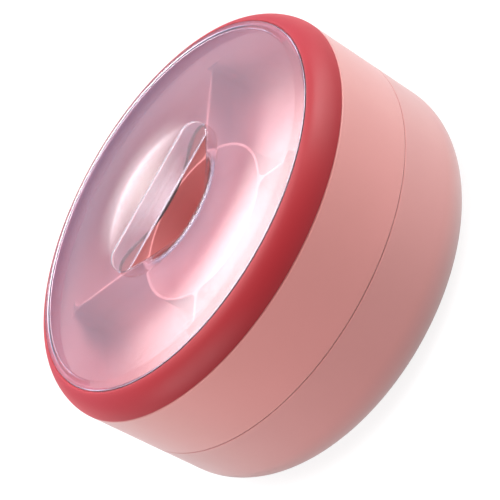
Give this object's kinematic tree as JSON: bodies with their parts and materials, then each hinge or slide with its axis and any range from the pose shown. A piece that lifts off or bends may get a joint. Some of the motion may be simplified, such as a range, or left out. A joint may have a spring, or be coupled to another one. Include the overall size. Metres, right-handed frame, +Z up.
{
  "type": "divided snack box",
  "caption": "Round two-tier divided snack box with a red-rimmed clear domed lid, bar handle over a finger opening and a lift-out compartment tray.",
  "frame": {"origin": "middle of the base, on the surface that the pads stand on", "axes": "+Z up through the lid, +X along the handle bar"},
  "size_m": [0.24, 0.24, 0.1291],
  "materials": {
    "pink_upper": "satin moulded plastic",
    "pink_lower": "satin moulded plastic, a little duskier",
    "red": "satin-gloss moulded plastic",
    "coral": "satin-gloss moulded plastic, coral",
    "clear": "clear, faintly lilac, polished",
    "pad": "matt soft silicone"
  },
  "bodies": {
    "base": {"lower_bowl": "pink_lower", "base_pad_1": "pad", "base_pad_2": "pad", "base_pad_3": "pad", "base_pad_4": "pad"},
    "tier": {"upper_tier": "pink_upper"},
    "tray": {"divided_tray": "coral"},
    "lid": {"lid_ring": "red", "lid_window": "clear", "lid_handle": "clear"}
  },
  "joints": [
    {"name": "tier_lift", "type": "slide", "parent": "base", "child": "tier", "axis": [0, 0, 1], "range_m": [0, 0.06]},
    {"name": "tray_lift", "type": "slide", "parent": "tier", "child": "tray", "axis": [0, 0, 1], "range_m": [0, 0.045]},
    {"name": "lid_lift", "type": "slide", "parent": "tray", "child": "lid", "axis": [0, 0, 1], "range_m": [0, 0.05]}
  ]
}
